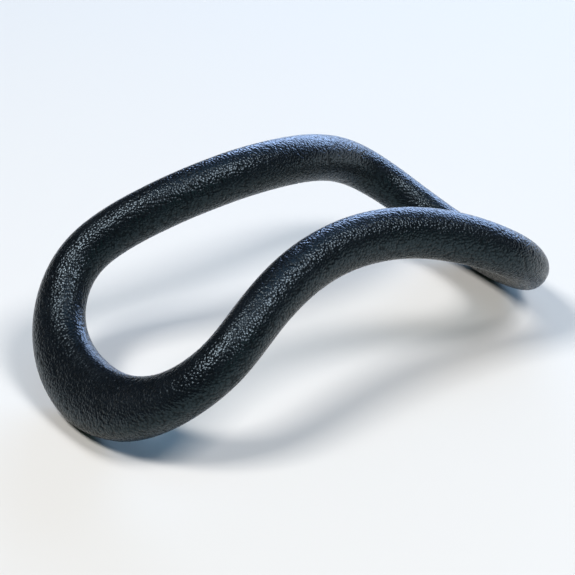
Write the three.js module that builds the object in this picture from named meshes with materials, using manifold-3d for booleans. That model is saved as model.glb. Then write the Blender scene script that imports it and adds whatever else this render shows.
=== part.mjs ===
// Stretch ring: a closed, waisted loop of soft-skinned rail, bent into an arch that stands on its two ends.
// Two hollow plastic half shells are welded along the middle of the rail, and each carries a moulded skin.
// Millimetres, +Z up, +X along the ring. The origin is the middle of the footprint, on the floor.
import * as THREE from 'three';
import Module from 'manifold-3d';
import { mergeVertices } from 'three/addons/utils/BufferGeometryUtils.js';

// Centreline of the rail, laid flat: half its length, half its breadth, and the harmonics that shape it.
// WAIST draws the middle of the loop in, CORNER fills its four corners,
// and BLUNT and FLAT square off its two tips.
const LOOP_HALF_LENGTH = 123.5;
const LOOP_HALF_BREADTH = 59.4;
const WAIST = 0.297;
const CORNER = 0.0185;
const BLUNT = -0.017;
const FLAT = 0.0405;

// The flat loop is bent round a cylinder of this radius, whose axis runs along Y.
const BEND_RADIUS = 130.3;

// Outer cross-section of the rail, at the middle of the ring and at its two tips.
// Squareness 2 is an ellipse, and more than 2 fills its corners. The blends are the powers of the distance
// from the middle of the ring by which each size changes on the way to a tip.
const RAIL_HALF_WIDTH = 10.2;
const RAIL_HALF_HEIGHT = 11.2;
const RAIL_SQUARENESS = 2;
const TIP_HALF_WIDTH = 14.6;
const TIP_HALF_HEIGHT = 8.7;
const TIP_SQUARENESS = 2.6;
const WIDTH_BLEND = 6;
const HEIGHT_BLEND = 2;

// Walls, and the clearance that neighbouring pieces keep.
const GAP = 0.3;
const SKIN_THICKNESS = 1.7;
const CORE_WALL = 2.4;
const CORE_INSET = SKIN_THICKNESS + GAP;

// Stepped weld joint: the upper shell's inner lip reaches this far below the parting plane.
const LIP_DEPTH = 1.6;

// Cross ribs stiffen each shell, rooted a little way into its wall, and pegs on the upper ribs fit bosses on
// the lower ribs to line the two shells up. The two shallow tips, past PEG_MAX_REACH, have no room for a peg.
const RIB_COUNT = 12;
const RIB_THICKNESS = 1.6;
const RIB_ROOT = 0.4;
const RIB_SLAB_SIZE = 60;
const PEG_RADIUS = 1.5;
const PEG_LENGTH = 3;
const BOSS_RADIUS = 3.2;
const PEG_SIDES = 12;
const PEG_MAX_REACH = 0.8;

// Facets round the loop and round each half of the cross-section.
const LOOP_STEPS = 60;
const SKIN_STEPS = 10;
const CORE_STEPS = 6;
const HOLLOW_STEPS = 4;

const SKIN_MATERIAL = { color: 0x1c2229, roughness: 0.5, metalness: 0 };
const CORE_MATERIAL = { color: 0x3a3d40, roughness: 0.6, metalness: 0 };

const wasm = await Module();
wasm.setup();

// The rail at one place round the loop: its centre, its directions and its outer cross-section.
function railAt(turn) {
  const full = 1 + BLUNT + FLAT;
  const along = (Math.cos(turn) + BLUNT * Math.cos(3 * turn) + FLAT * Math.cos(5 * turn)) / full;
  const alongRate = -(Math.sin(turn) + 3 * BLUNT * Math.sin(3 * turn) + 5 * FLAT * Math.sin(5 * turn)) / full;
  const across = Math.sin(turn) + WAIST * Math.sin(3 * turn) + CORNER * Math.sin(7 * turn);
  const acrossRate = Math.cos(turn) + 3 * WAIST * Math.cos(3 * turn) + 7 * CORNER * Math.cos(7 * turn);
  const bend = (LOOP_HALF_LENGTH * along) / BEND_RADIUS;
  const centre = new THREE.Vector3(
    BEND_RADIUS * Math.sin(bend),
    LOOP_HALF_BREADTH * across,
    BEND_RADIUS * (Math.cos(bend) - 1),
  );
  const tangent = new THREE.Vector3(
    LOOP_HALF_LENGTH * alongRate * Math.cos(bend),
    LOOP_HALF_BREADTH * acrossRate,
    -LOOP_HALF_LENGTH * alongRate * Math.sin(bend),
  ).normalize();
  const inward = new THREE.Vector3(Math.sin(bend), 0, Math.cos(bend)).cross(tangent).normalize();
  const up = tangent.clone().cross(inward);
  const reach = Math.abs(along);
  return {
    reach,
    centre,
    tangent,
    inward,
    up,
    halfWidth: THREE.MathUtils.lerp(RAIL_HALF_WIDTH, TIP_HALF_WIDTH, reach ** WIDTH_BLEND),
    halfHeight: THREE.MathUtils.lerp(RAIL_HALF_HEIGHT, TIP_HALF_HEIGHT, reach ** HEIGHT_BLEND),
    squareness: THREE.MathUtils.lerp(RAIL_SQUARENESS, TIP_SQUARENESS, reach ** WIDTH_BLEND),
  };
}

// Upper half of the rail's oval, inset from its surface, as [inward, up] points from height start
// over the top and back to height start.
function halfOval(rail, inset, start, steps) {
  const width = rail.halfWidth - inset;
  const height = rail.halfHeight - inset - start;
  const power = 2 / rail.squareness;
  const points = [];
  for (let i = 0; i <= steps; i++) {
    const angle = (Math.PI * i) / steps;
    const inward = width * Math.sign(Math.cos(angle)) * Math.abs(Math.cos(angle)) ** power;
    const up = start + height * Math.abs(Math.sin(angle)) ** power;
    points.push([inward, up]);
  }
  return points;
}

function skinProfile(rail) {
  return [
    ...halfOval(rail, 0, GAP / 2, SKIN_STEPS),
    ...halfOval(rail, SKIN_THICKNESS, GAP / 2, CORE_STEPS).reverse(),
  ];
}

// Wall of a half shell, with a stepped edge: the outer part of the wall stops at the parting plane,
// and the inner part at lipEnd.
function shellProfile(rail, stepWidth, lipEnd) {
  const step = rail.halfWidth - CORE_INSET - stepWidth;
  return [
    ...halfOval(rail, CORE_INSET, GAP / 2, CORE_STEPS),
    [-step, GAP / 2],
    [-step, lipEnd],
    ...halfOval(rail, CORE_INSET + CORE_WALL, lipEnd, HOLLOW_STEPS).reverse(),
    [step, lipEnd],
    [step, GAP / 2],
  ];
}

function upperShellProfile(rail) {
  return shellProfile(rail, (CORE_WALL + GAP) / 2, -LIP_DEPTH);
}

function lowerShellProfile(rail) {
  return shellProfile(rail, (CORE_WALL - GAP) / 2, LIP_DEPTH + GAP);
}

// The hollow inside a half shell, a little larger, so that a rib made from it is rooted in the wall.
function hollowProfile(rail, lipEnd) {
  return halfOval(rail, CORE_INSET + CORE_WALL - RIB_ROOT, lipEnd, HOLLOW_STEPS);
}

// The same profile on the other side of the parting plane.
function mirrored(profileAt) {
  return (rail) => profileAt(rail).map(([inward, up]) => [inward, -up]).reverse();
}

// A closed profile carried once round the loop.
function sweep(profileAt) {
  const positions = [];
  const indices = [];
  let count = 0;
  for (let i = 0; i < LOOP_STEPS; i++) {
    const rail = railAt((2 * Math.PI * i) / LOOP_STEPS);
    const profile = profileAt(rail);
    count = profile.length;
    for (const [inward, up] of profile) {
      const point = rail.centre.clone().addScaledVector(rail.inward, inward).addScaledVector(rail.up, up);
      positions.push(point.x, point.y, point.z);
    }
  }
  for (let i = 0; i < LOOP_STEPS; i++) {
    const here = i * count;
    const next = ((i + 1) % LOOP_STEPS) * count;
    for (let j = 0; j < count; j++) {
      const k = (j + 1) % count;
      indices.push(here + j, here + k, next + j);
      indices.push(here + k, next + k, next + j);
    }
  }
  const geometry = new THREE.BufferGeometry();
  geometry.setAttribute('position', new THREE.Float32BufferAttribute(positions, 3));
  geometry.setIndex(indices);
  return geometry;
}

function toSolid(geometry) {
  const bare = geometry.clone();
  bare.deleteAttribute('normal');
  bare.deleteAttribute('uv');
  const merged = mergeVertices(bare, 1e-5);
  return new wasm.Manifold(new wasm.Mesh({
    numProp: 3,
    vertProperties: new Float32Array(merged.attributes.position.array),
    triVerts: new Uint32Array(merged.index.array),
  }));
}

function toGeometry(solid) {
  const mesh = solid.getMesh();
  const geometry = new THREE.BufferGeometry();
  geometry.setAttribute('position', new THREE.Float32BufferAttribute(mesh.vertProperties, 3));
  geometry.setIndex(Array.from(mesh.triVerts));
  return geometry;
}

// A shape centred on the rail at height up, with its own X along the rail and its own Y up.
function placeOnRail(geometry, rail, up) {
  const matrix = new THREE.Matrix4().makeBasis(rail.tangent, rail.up, rail.inward.clone().negate());
  const place = rail.centre.clone().addScaledVector(rail.up, up);
  return toSolid(geometry.applyMatrix4(matrix.setPosition(place)));
}

// A round post on the rail's middle line, between two heights.
function post(rail, radius, low, high) {
  const geometry = new THREE.CylinderGeometry(radius, radius, high - low, PEG_SIDES);
  return placeOnRail(geometry, rail, (low + high) / 2);
}

function ribPlaces() {
  return Array.from({ length: RIB_COUNT }, (_, i) => railAt((2 * Math.PI * i) / RIB_COUNT));
}

function pegPlaces() {
  return ribPlaces().filter((rail) => rail.reach < PEG_MAX_REACH);
}

function addRibs(shell, hollow) {
  const fill = toSolid(sweep(hollow));
  let ribbed = shell;
  for (const rail of ribPlaces()) {
    const slab = placeOnRail(new THREE.BoxGeometry(RIB_THICKNESS, RIB_SLAB_SIZE, RIB_SLAB_SIZE), rail, 0);
    ribbed = ribbed.add(fill.intersect(slab));
  }
  return ribbed;
}

// Height of the hollow on the rail's middle line, again with its root in the wall.
function hollowHeight(rail) {
  return rail.halfHeight - CORE_INSET - CORE_WALL + RIB_ROOT;
}

function coreShellUpper() {
  let shell = addRibs(toSolid(sweep(upperShellProfile)), (rail) => hollowProfile(rail, -LIP_DEPTH));
  for (const rail of pegPlaces()) {
    shell = shell.add(post(rail, PEG_RADIUS, -LIP_DEPTH - PEG_LENGTH, hollowHeight(rail)));
  }
  return toGeometry(shell);
}

function coreShellLower() {
  const lipEnd = LIP_DEPTH + GAP;
  const hollow = mirrored((rail) => hollowProfile(rail, lipEnd));
  let shell = addRibs(toSolid(sweep(mirrored(lowerShellProfile))), hollow);
  for (const rail of pegPlaces()) {
    shell = shell.add(post(rail, BOSS_RADIUS, -hollowHeight(rail), -lipEnd));
    shell = shell.subtract(post(rail, PEG_RADIUS + GAP, -lipEnd - PEG_LENGTH, 0));
  }
  return toGeometry(shell);
}

function subPart(name, geometry, material) {
  geometry.computeVertexNormals();
  const mesh = new THREE.Mesh(geometry, new THREE.MeshStandardMaterial(material));
  mesh.name = name;
  return mesh;
}

const skinUpper = subPart('skin_upper', sweep(skinProfile), SKIN_MATERIAL);
const skinLower = subPart('skin_lower', sweep(mirrored(skinProfile)), SKIN_MATERIAL);

const stretchRing = new THREE.Group();
stretchRing.add(
  skinUpper,
  skinLower,
  subPart('core_shell_upper', coreShellUpper(), CORE_MATERIAL),
  subPart('core_shell_lower', coreShellLower(), CORE_MATERIAL),
);

// The ring is built round the top of its centreline, then lifted to stand on the floor.
skinLower.geometry.computeBoundingBox();
stretchRing.position.z = -skinLower.geometry.boundingBox.min.z;

export default stretchRing;
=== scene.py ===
"""Looks of the stretch ring: two leather-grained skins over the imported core, on a plain floor.

Metres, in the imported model's own frame. The skins follow the same centreline and oval as the CAD solids.
"""
import math

import bpy
import numpy as np
from mathutils import Matrix, Vector


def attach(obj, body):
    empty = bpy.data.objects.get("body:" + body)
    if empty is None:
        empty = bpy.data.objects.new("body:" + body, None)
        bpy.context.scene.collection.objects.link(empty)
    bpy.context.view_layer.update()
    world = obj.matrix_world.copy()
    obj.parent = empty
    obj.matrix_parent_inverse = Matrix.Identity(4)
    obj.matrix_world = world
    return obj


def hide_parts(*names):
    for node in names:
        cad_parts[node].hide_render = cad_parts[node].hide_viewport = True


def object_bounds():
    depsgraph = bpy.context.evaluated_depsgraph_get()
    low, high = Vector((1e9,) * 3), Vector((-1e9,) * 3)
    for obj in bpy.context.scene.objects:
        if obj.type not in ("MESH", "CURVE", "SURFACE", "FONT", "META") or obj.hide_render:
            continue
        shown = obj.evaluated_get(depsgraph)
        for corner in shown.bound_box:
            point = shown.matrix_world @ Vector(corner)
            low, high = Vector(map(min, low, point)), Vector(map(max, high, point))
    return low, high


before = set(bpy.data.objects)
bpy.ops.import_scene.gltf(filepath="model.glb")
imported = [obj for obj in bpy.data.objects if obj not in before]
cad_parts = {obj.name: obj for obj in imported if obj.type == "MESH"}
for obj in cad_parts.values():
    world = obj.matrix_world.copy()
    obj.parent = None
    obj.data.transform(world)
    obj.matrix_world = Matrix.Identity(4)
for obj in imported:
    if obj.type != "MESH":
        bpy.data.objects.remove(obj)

MM = 0.001
cad_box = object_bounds()

# Centreline of the rail, laid flat, and the harmonics that shape it. BEND_RADIUS then bends it into an arch.
LOOP_HALF_LENGTH = 123.5 * MM
LOOP_HALF_BREADTH = 59.4 * MM
WAIST = 0.297
CORNER = 0.0185
BLUNT = -0.017
FLAT = 0.0405
BEND_RADIUS = 130.3 * MM

# Oval cross-section at the middle of the ring and at its tips, and how late it changes from one to the other.
RAIL_HALF_WIDTH = 10.2 * MM
RAIL_HALF_HEIGHT = 11.2 * MM
RAIL_SQUARENESS = 2.0
TIP_HALF_WIDTH = 14.6 * MM
TIP_HALF_HEIGHT = 8.7 * MM
TIP_SQUARENESS = 2.6
WIDTH_BLEND = 6
HEIGHT_BLEND = 2

# The skins' wall. In the picture the two skins meet at the parting line with no gap.
SKIN_THICKNESS = 1.7 * MM

# Mesh density: places round the loop, and steps over the outside and the inside of each half.
LOOP_STEPS = 1300
OUTER_STEPS = 68
INNER_STEPS = 6

# Steps of the finer curves on which lengths are measured: the centreline, and half the oval.
DENSE_LOOP = 6000
DENSE_OVAL = 240

# Slow waves of the moulded skin.
WAVE_SIZE = 26 * MM
WAVE_DEPTH = 0.16 * MM

# Domed leather pebbles. The mesh carries PEBBLE_IN_MESH of their height, and the material's bump the rest.
PEBBLE_PITCH = 1.25 * MM
PEBBLE_DOME = 0.37 * MM
PEBBLE_SCATTER = 0.8
PEBBLE_IN_MESH = 0.25

# The pebbles' size and rows vary by a warp of their places, and their depth by a noise of its own.
WARP_SIZE = 5 * MM
WARP_REACH = 1.0 * MM
DEPTH_SIZE = 2.4 * MM
DEPTH_SPREAD = 0.2
DEPTH_NOISE_ENDS = (0.35, 0.65)

# Fine pores on the pebbles, in the bump only.
PORE_SIZE = 0.55 * MM
PORE_DEPTH = 0.04 * MM

# Skin finish: cloudy tone and roughness between the two ends of a slow noise.
CLOUD_SCALE = 60
CLOUD_ENDS = (0.3, 0.7)
SKIN_TONES = ((0.0026, 0.0046, 0.0066), (0.0044, 0.0074, 0.0104))
SKIN_ROUGHNESS = (0.21, 0.28)
SKIN_IOR = 1.42
SKIN_SPECULAR_TINT = (0.60, 0.89, 0.98, 1)

# Creases get painted shade, a darker base colour, and are also rougher and less shiny: each pair goes with
# two heights of the grain, low and high.
PAINTED_SHADE_HEIGHTS = (0.45, 0.85)
PAINTED_CREASE_SHADES = ((0.45, 0.45, 0.45), (1, 1, 1))
ROUGH_HEIGHTS = (0.4, 0.9)
CREASE_ROUGHNESS = (0.12, 0.0)
SHINE_HEIGHTS = (0.46, 0.9)
CREASE_SHINE = (0.27, 0.57)

# Core finish: a faint mottle in tone and roughness, and a fine matt grain.
MOTTLE_SCALE = 180
MOTTLE_ENDS = (0.3, 0.7)
CORE_TONES = ((0.038, 0.042, 0.047), (0.052, 0.057, 0.063))
CORE_ROUGHNESS = (0.5, 0.62)
CORE_GRAIN_SCALE = 2600
CORE_GRAIN_DEPTH = 0.01 * MM

# Floor, a little below the lowest pebbles.
FLOOR_SIZE = 16
FLOOR_DROP = 0.15 * MM
FLOOR_COLOUR = (0.61, 0.69, 0.625, 1)
FLOOR_ROUGHNESS = 0.9

# Camera, aimed in degrees and metres at the centreline's highest place.
CAMERA_YAW = -35.582
CAMERA_PITCH = 29.338
CAMERA_ROLL = -0.541
CAMERA_DISTANCE = 0.8954
CAMERA_RIGHT = -0.00332
CAMERA_UP = -0.03447
CAMERA_LENS = 131.0
SENSOR_WIDTH = 36.0

# Panel lights: degrees to the camera's right, degrees up, width and height, watts, and colour.
PANELS = {
    "left_softbox": (-66, 60, (0.7, 0.55), 33.5, (1.0, 0.85, 0.88)),
    "right_softbox": (60, 58, (0.6, 0.7), 30.0, (1.0, 0.855, 0.91)),
    "back_panel": (160, 14, (1.9, 0.8), 47.0, (0.45, 0.61, 0.98)),
    "overhead_panel": (150, 72, (1.4, 1.2), 5.0, (0.38, 0.62, 1.0)),
    "front_fill": (35, 20, (1.0, 1.0), 1.2, (0.5, 1.0, 0.85)),
}
PANEL_DISTANCE = 2.0
PANEL_AIM = Vector((0, 0, 0.04))
WORLD_COLOUR = (0.86, 0.93, 1.0, 1)
WORLD_STRENGTH = 0.03

crown = Vector((0, 0, cad_box[1][2] - RAIL_HALF_HEIGHT))


# ---------------------------------------------------------------- shape of the rail
def rail_frames(turns):
    """Centres, inward and up directions, and reach (0 at the waist, 1 at a tip) for an array of turns."""
    full = 1 + BLUNT + FLAT
    along = (np.cos(turns) + BLUNT * np.cos(3 * turns) + FLAT * np.cos(5 * turns)) / full
    along_rate = -(np.sin(turns) + 3 * BLUNT * np.sin(3 * turns) + 5 * FLAT * np.sin(5 * turns)) / full
    across = np.sin(turns) + WAIST * np.sin(3 * turns) + CORNER * np.sin(7 * turns)
    across_rate = np.cos(turns) + 3 * WAIST * np.cos(3 * turns) + 7 * CORNER * np.cos(7 * turns)
    bend = LOOP_HALF_LENGTH * along / BEND_RADIUS
    zero = np.zeros_like(turns)
    centre = np.stack([
        BEND_RADIUS * np.sin(bend),
        LOOP_HALF_BREADTH * across,
        BEND_RADIUS * (np.cos(bend) - 1) + crown.z,
    ], axis=1)
    tangent = unit(np.stack([
        LOOP_HALF_LENGTH * along_rate * np.cos(bend),
        LOOP_HALF_BREADTH * across_rate,
        -LOOP_HALF_LENGTH * along_rate * np.sin(bend),
    ], axis=1))
    inward = unit(np.cross(np.stack([np.sin(bend), zero, np.cos(bend)], axis=1), tangent))
    return centre, inward, np.cross(tangent, inward), np.abs(along)


def unit(vectors):
    return vectors / np.linalg.norm(vectors, axis=-1, keepdims=True)


def even_turns(steps):
    """Turns that lie at even distances along the centreline."""
    dense = np.linspace(0, 2 * np.pi, DENSE_LOOP + 1)
    centre = rail_frames(dense)[0]
    length = np.concatenate([[0], np.cumsum(np.linalg.norm(np.diff(centre, axis=0), axis=1))])
    return np.interp(np.arange(steps) / steps * length[-1], length, dense)


def oval_sizes(reach):
    """Half width, half height and squareness of the oval for an array of reaches."""
    def mix(middle, tip, power):
        return middle + (tip - middle) * reach ** power
    return (
        mix(RAIL_HALF_WIDTH, TIP_HALF_WIDTH, WIDTH_BLEND),
        mix(RAIL_HALF_HEIGHT, TIP_HALF_HEIGHT, HEIGHT_BLEND),
        mix(RAIL_SQUARENESS, TIP_SQUARENESS, WIDTH_BLEND),
    )


def half_oval(reach, inset, steps):
    """Points of the oval's upper half at even distances, as (place, point, [inward, up])."""
    width, height, squareness = oval_sizes(reach)
    angle = np.linspace(0, np.pi, DENSE_OVAL + 1)[None, :]
    power = (2 / squareness)[:, None]
    inward = (width - inset)[:, None] * np.sign(np.cos(angle)) * np.abs(np.cos(angle)) ** power
    up = (height - inset)[:, None] * np.abs(np.sin(angle)) ** power
    piece = np.hypot(np.diff(inward, axis=1), np.diff(up, axis=1))
    length = np.concatenate([np.zeros((len(reach), 1)), np.cumsum(piece, axis=1)], axis=1)
    points = np.empty((len(reach), steps + 1, 2))
    share = np.linspace(0, 1, steps + 1)
    for i in range(len(reach)):
        points[i, :, 0] = np.interp(share * length[i, -1], length[i], inward[i])
        points[i, :, 1] = np.interp(share * length[i, -1], length[i], up[i])
    return points


def placed(centre, inward, up, profile):
    """Section points, carried to their places round the loop."""
    return (
        centre[:, None, :]
        + inward[:, None, :] * profile[:, :, :1]
        + up[:, None, :] * profile[:, :, 1:]
    )


# ---------------------------------------------------------------- node trees
class Nodes:
    """A node tree, with short calls that add and join nodes."""

    def __init__(self, tree):
        self.tree = tree

    def add(self, kind, **settings):
        """A new node. A setting is the value of the input of that name, or else a property of the node."""
        node = self.tree.nodes.new(kind)
        for key, value in settings.items():
            if key in node.inputs:
                node.inputs[key].default_value = value
            else:
                setattr(node, key, value)
        return node

    def join(self, source, target):
        self.tree.links.new(source, target)

    def noise(self, place, scale, detail):
        node = self.add("ShaderNodeTexNoise", Scale=scale, Detail=detail)
        self.join(place, node.inputs["Vector"])
        return node

    def cloud(self, place, scale, detail):
        return self.noise(place, scale, detail).outputs[0]

    def math(self, operation, *values):
        node = self.add("ShaderNodeMath", operation=operation)
        for socket, value in zip(node.inputs, values):
            if isinstance(value, (int, float)):
                socket.default_value = value
            else:
                self.join(value, socket)
        return node.outputs["Value"]

    def span(self, source, ends, results):
        """A value that goes from one result to the other while the source goes between its ends."""
        node = self.add("ShaderNodeMapRange")
        node.inputs["From Min"].default_value, node.inputs["From Max"].default_value = ends
        node.inputs["To Min"].default_value, node.inputs["To Max"].default_value = results
        self.join(source, node.inputs["Value"])
        return node.outputs["Result"]

    def ramp(self, source, ends, colours):
        """A colour that goes from one to the other while the source goes between its ends."""
        node = self.add("ShaderNodeValToRGB")
        for element, position, colour in zip(node.color_ramp.elements, ends, colours):
            element.position = position
            element.color = (*colour, 1)
        self.join(source, node.inputs["Fac"])
        return node.outputs["Color"]

    def multiply(self, a, b):
        node = self.add("ShaderNodeMix", data_type="RGBA", blend_type="MULTIPLY")
        node.inputs["Factor"].default_value = 1
        self.join(a, node.inputs["A"])
        self.join(b, node.inputs["B"])
        return node.outputs["Result"]

    def bump(self, height, distance, under=None):
        node = self.add("ShaderNodeBump", Distance=distance)
        self.join(height, node.inputs["Height"])
        if under is not None:
            self.join(under, node.inputs["Normal"])
        return node.outputs["Normal"]

    def pebbles(self, place):
        """Height of the leather grain: 1 at the top of each pebble, and lower in the creases."""
        cells = self.add("ShaderNodeTexVoronoi", Scale=1 / PEBBLE_PITCH, Randomness=PEBBLE_SCATTER)
        self.join(self.warped(place), cells.inputs["Vector"])
        distance = cells.outputs["Distance"]
        wander = self.cloud(place, 1 / DEPTH_SIZE, 1)
        depth = self.span(wander, DEPTH_NOISE_ENDS, (1 - DEPTH_SPREAD, 1 + DEPTH_SPREAD))
        fall = self.math("MULTIPLY", distance, distance)
        return self.math("SUBTRACT", 1.0, self.math("MULTIPLY", depth, fall))

    def warped(self, place):
        """Places moved a little to and fro, so that the pebbles' size and rows vary."""
        moved = self.add("ShaderNodeVectorMath", operation="MULTIPLY_ADD")
        self.join(self.noise(place, 1 / WARP_SIZE, 0).outputs["Color"], moved.inputs[0])
        moved.inputs[1].default_value = (WARP_REACH, WARP_REACH, WARP_REACH)
        self.join(place, moved.inputs[2])
        return moved.outputs["Vector"]


# ---------------------------------------------------------------- skins
def relief_tree():
    """Geometry nodes that move each point along its normal by the waves and the pebbles."""
    tree = bpy.data.node_groups.new("leather_relief", "GeometryNodeTree")
    tree.interface.new_socket("Geometry", in_out="INPUT", socket_type="NodeSocketGeometry")
    tree.interface.new_socket("Geometry", in_out="OUTPUT", socket_type="NodeSocketGeometry")
    n = Nodes(tree)
    start = n.add("NodeGroupInput")
    end = n.add("NodeGroupOutput")
    place = n.add("GeometryNodeInputPosition").outputs["Position"]
    normal = n.add("GeometryNodeInputNormal").outputs["Normal"]
    wave = n.math("SUBTRACT", n.cloud(place, 1 / WAVE_SIZE, 1), 0.5)
    grain = n.math("SUBTRACT", n.pebbles(place), 1.0)
    height = n.math(
        "ADD",
        n.math("MULTIPLY", wave, 2 * WAVE_DEPTH),
        n.math("MULTIPLY", grain, PEBBLE_DOME * PEBBLE_IN_MESH),
    )
    offset = n.add("ShaderNodeVectorMath", operation="SCALE")
    n.join(normal, offset.inputs[0])
    n.join(height, offset.inputs["Scale"])
    move = n.add("GeometryNodeSetPosition")
    n.join(start.outputs["Geometry"], move.inputs["Geometry"])
    n.join(offset.outputs[0], move.inputs["Offset"])
    n.join(move.outputs["Geometry"], end.inputs["Geometry"])
    return tree


def tube_faces(rings, count):
    """Quads between neighbouring rings of points. The last ring joins the first, and each ring is closed."""
    ring = np.arange(rings)[:, None] * count
    step = np.arange(count)[None, :]
    next_ring = (ring + count) % (rings * count)
    next_step = (step + 1) % count
    corners = [ring + step, ring + next_step, next_ring + next_step, next_ring + step]
    return np.stack(corners, axis=-1).reshape(-1, 4)


def mesh_piece(name, points, faces):
    mesh = bpy.data.meshes.new(name)
    mesh.from_pydata(points.reshape(-1, 3), [], faces)
    mesh.polygons.foreach_set("use_smooth", [True] * len(mesh.polygons))
    piece = bpy.data.objects.new(name, mesh)
    bpy.context.scene.collection.objects.link(piece)
    return piece


def leather_surface(centre, inward, up, reach):
    """Points and normals of the rail's whole outside, once the relief has moved them."""
    half = half_oval(reach, 0.0, OUTER_STEPS)
    other = half[:, -2:0:-1] * np.array([1, -1])
    profile = np.concatenate([half, other], axis=1)
    points = placed(centre, inward, up, profile)
    rail = mesh_piece("rail_surface", points, tube_faces(LOOP_STEPS, points.shape[1]))
    relief = rail.modifiers.new("relief", "NODES")
    relief.node_group = relief_tree()
    moved = rail.evaluated_get(bpy.context.evaluated_depsgraph_get()).to_mesh()
    places = np.empty(points.size, dtype=np.float32)
    normals = np.empty(points.size, dtype=np.float32)
    moved.vertices.foreach_get("co", places)
    moved.vertex_normals.foreach_get("vector", normals)
    bpy.data.objects.remove(rail)
    return places.reshape(points.shape), normals.reshape(points.shape)


def skin_halves():
    """The upper and the lower skin: their share of the leather surface, closed by a plain inside.

    Their outsides take the whole surface's normals, so that no line shows where the two skins meet. A zero
    normal leaves a point of the inside its own.
    """
    centre, inward, up, reach = rail_frames(even_turns(LOOP_STEPS))
    surface, normals = leather_surface(centre, inward, up, reach)
    inside = half_oval(reach, SKIN_THICKNESS, INNER_STEPS)
    lower_rows = np.arange(2 * OUTER_STEPS, OUTER_STEPS - 1, -1) % (2 * OUTER_STEPS)
    halves = (("skin_upper", 1, np.arange(OUTER_STEPS + 1)), ("skin_lower", -1, lower_rows))
    for node, side, rows in halves:
        inner = placed(centre, inward, up, inside[:, ::-1] * np.array([1, side]))
        points = np.concatenate([surface[:, rows], inner], axis=1)
        faces = tube_faces(LOOP_STEPS, points.shape[1])
        skin = mesh_piece(node + "_leather", points, faces if side > 0 else faces[:, ::-1])
        point_normals = np.zeros_like(points)
        point_normals[:, : OUTER_STEPS + 1] = normals[:, rows]
        skin.data.normals_split_custom_set_from_vertices(point_normals.reshape(-1, 3))
        yield node, skin


# ---------------------------------------------------------------- materials
def new_material(name):
    """A new material, its nodes, its shader and its object coordinates."""
    material = bpy.data.materials.new(name)
    material.use_nodes = True
    nodes = Nodes(material.node_tree)
    shader = material.node_tree.nodes["Principled BSDF"]
    place = nodes.add("ShaderNodeTexCoord").outputs["Object"]
    return material, nodes, shader, place


def leather_skin():
    """Soft near-black elastomer with a pebbled leather grain."""
    material, n, shader, place = new_material("leather_grain_skin")
    grain = n.pebbles(place)
    cloud = n.cloud(place, CLOUD_SCALE, 4)
    tone = n.ramp(cloud, CLOUD_ENDS, SKIN_TONES)
    # Painted shade: the tone is darkened in the creases between the pebbles and left as it is on their tops.
    painted_crease_shade = n.ramp(grain, PAINTED_SHADE_HEIGHTS, PAINTED_CREASE_SHADES)
    n.join(n.multiply(tone, painted_crease_shade), shader.inputs["Base Color"])
    cloud_rough = n.span(cloud, CLOUD_ENDS, SKIN_ROUGHNESS)
    crease_rough = n.span(grain, ROUGH_HEIGHTS, CREASE_ROUGHNESS)
    n.join(n.math("ADD", cloud_rough, crease_rough), shader.inputs["Roughness"])
    n.join(n.span(grain, SHINE_HEIGHTS, CREASE_SHINE), shader.inputs["Specular IOR Level"])
    pores = n.bump(n.cloud(place, 1 / PORE_SIZE, 2), PORE_DEPTH)
    normal = n.bump(grain, PEBBLE_DOME * (1 - PEBBLE_IN_MESH), pores)
    n.join(normal, shader.inputs["Normal"])
    shader.inputs["IOR"].default_value = SKIN_IOR
    shader.inputs["Specular Tint"].default_value = SKIN_SPECULAR_TINT
    return material


def core_plastic():
    """Moulded polypropylene, matt, with a faint mottle."""
    material, n, shader, place = new_material("core_polypropylene")
    mottle = n.cloud(place, MOTTLE_SCALE, 4)
    n.join(n.ramp(mottle, MOTTLE_ENDS, CORE_TONES), shader.inputs["Base Color"])
    n.join(n.span(mottle, MOTTLE_ENDS, CORE_ROUGHNESS), shader.inputs["Roughness"])
    n.join(n.bump(n.cloud(place, CORE_GRAIN_SCALE, 2), CORE_GRAIN_DEPTH), shader.inputs["Normal"])
    return material


def pale_floor():
    material, _, shader, _ = new_material("pale_floor")
    shader.inputs["Base Color"].default_value = FLOOR_COLOUR
    shader.inputs["Roughness"].default_value = FLOOR_ROUGHNESS
    return material


# ---------------------------------------------------------------- studio
def add_floor():
    bpy.ops.mesh.primitive_plane_add(size=FLOOR_SIZE, location=(0, 0, cad_box[0][2] - FLOOR_DROP))
    floor = bpy.context.object
    floor.name = "floor"
    floor.data.materials.append(pale_floor())


def direction(yaw, rise):
    """The way from the ring to a place, by yaw round the ring and rise above it, both in radians."""
    return Vector((math.sin(yaw) * math.cos(rise), -math.cos(yaw) * math.cos(rise), math.sin(rise)))


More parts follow.
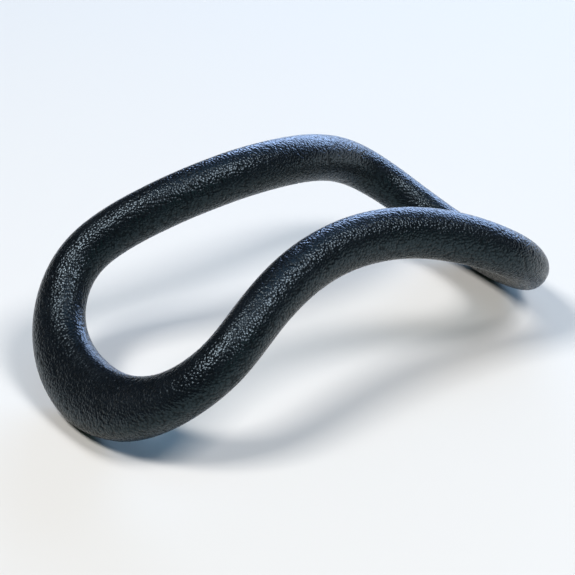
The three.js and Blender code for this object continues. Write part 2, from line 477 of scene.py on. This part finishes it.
def add_panel(name, azimuth, elevation, size, watts, colour):
    """A soft panel light that faces the ring."""
    lamp = bpy.data.lights.new(name, "AREA")
    lamp.shape = "RECTANGLE"
    lamp.size, lamp.size_y = size
    lamp.energy = watts
    lamp.color = colour
    panel = bpy.data.objects.new(name, lamp)
    bpy.context.scene.collection.objects.link(panel)
    away = direction(math.radians(CAMERA_YAW + azimuth), math.radians(elevation))
    panel.location = crown + away * PANEL_DISTANCE
    panel.rotation_euler = (PANEL_AIM - panel.location).to_track_quat("-Z", "Y").to_euler()


def add_lights():
    for name, settings in PANELS.items():
        add_panel(name, *settings)
    world = bpy.data.worlds.new("studio")
    bpy.context.scene.world = world
    world.use_nodes = True
    backdrop = world.node_tree.nodes["Background"]
    backdrop.inputs["Color"].default_value = WORLD_COLOUR
    backdrop.inputs["Strength"].default_value = WORLD_STRENGTH


def add_camera():
    yaw, pitch, roll = (math.radians(a) for a in (CAMERA_YAW, CAMERA_PITCH, CAMERA_ROLL))
    back = direction(yaw, pitch)
    level = Vector((math.cos(yaw), math.sin(yaw), 0))
    upright = back.cross(level)
    right = level * math.cos(roll) + upright * math.sin(roll)
    up = upright * math.cos(roll) - level * math.sin(roll)
    camera_data = bpy.data.cameras.new("camera")
    camera_data.sensor_width = SENSOR_WIDTH
    camera_data.lens = CAMERA_LENS
    camera = bpy.data.objects.new("camera", camera_data)
    bpy.context.scene.collection.objects.link(camera)
    place = crown + back * CAMERA_DISTANCE + right * CAMERA_RIGHT + up * CAMERA_UP
    camera.matrix_world = Matrix.Translation(place) @ Matrix((right, up, back)).transposed().to_4x4()
    bpy.context.scene.camera = camera


# ---------------------------------------------------------------- the scene
def add_skins():
    leather = leather_skin()
    for node, skin in skin_halves():
        skin.data.materials.append(leather)
        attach(skin, "root")
        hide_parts(node)


def dress_cores():
    plastic = core_plastic()
    for node in ("core_shell_upper", "core_shell_lower"):
        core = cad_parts[node]
        core.data.materials.clear()
        core.data.materials.append(plastic)


add_camera()
add_skins()
dress_cores()
add_floor()
add_lights()
bpy.context.scene.view_settings.view_transform = "Standard"
